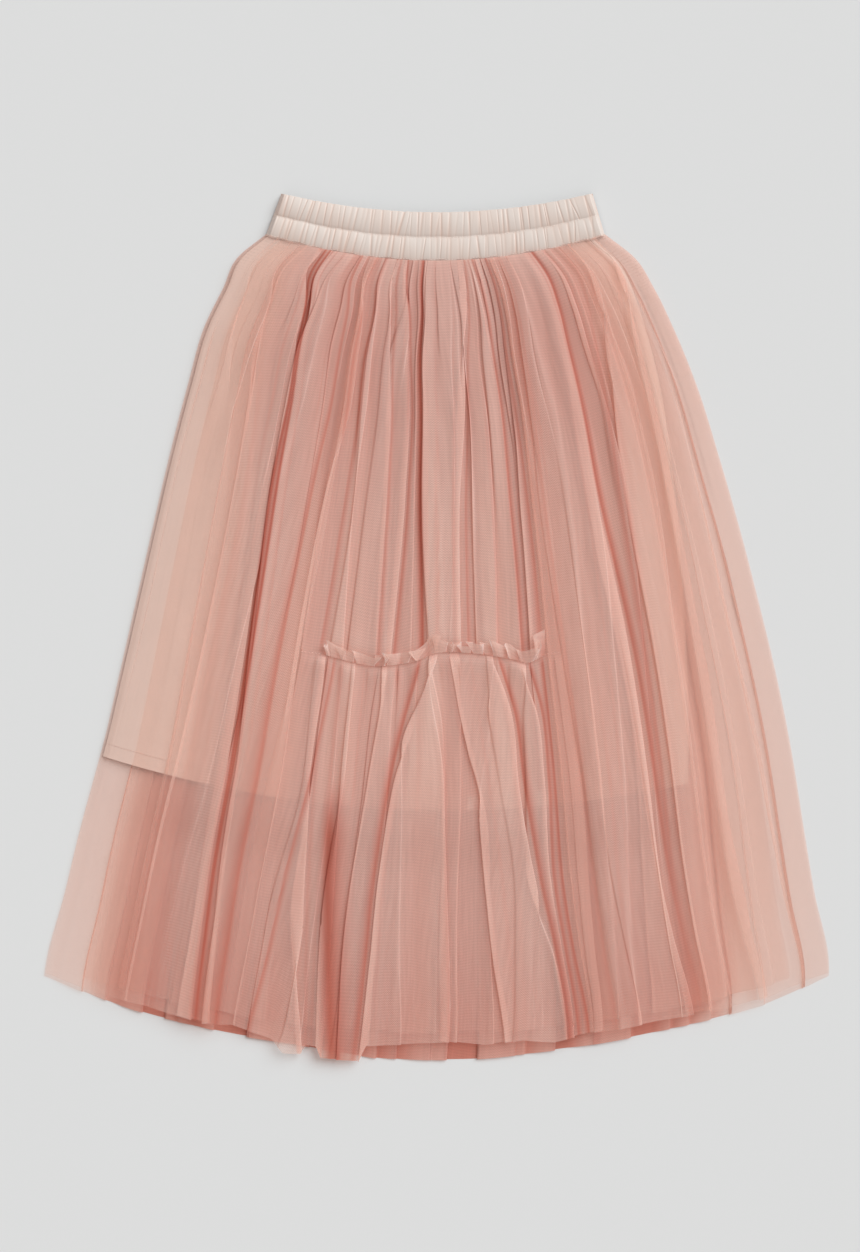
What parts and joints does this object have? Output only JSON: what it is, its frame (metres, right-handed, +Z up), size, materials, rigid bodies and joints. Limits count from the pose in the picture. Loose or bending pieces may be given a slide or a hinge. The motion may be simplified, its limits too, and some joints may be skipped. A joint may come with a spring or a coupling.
{
  "type": "tulle skirt",
  "caption": "Midi skirt of gathered tulle over a lining, with a gathered satin waistband and a centre ruffle, laid flat with its front up.",
  "frame": {"origin": "under the middle of the laid skirt, on the surface it lies on", "axes": "+X across the skirt to the picture's right, +Y up to the waist, +Z up from the surface"},
  "size_m": [0.768, 0.8478, 0.0272],
  "materials": {
    "tulle": "soft sheer net",
    "ruffle_tulle": "soft sheer net, gathered",
    "lining": "smooth woven lining",
    "satin_band": "gathered satin"
  },
  "bodies": {
    "root": {"back": "tulle", "lining_back": "lining", "lining_front": "lining", "under_front": "tulle", "centre_upper": "ruffle_tulle", "centre_ruffle": "ruffle_tulle", "ruffle_heading": "ruffle_tulle", "front_left": "tulle", "front_right": "tulle", "waistband_front": "satin_band", "waistband_back": "satin_band"}
  },
  "joints": []
}
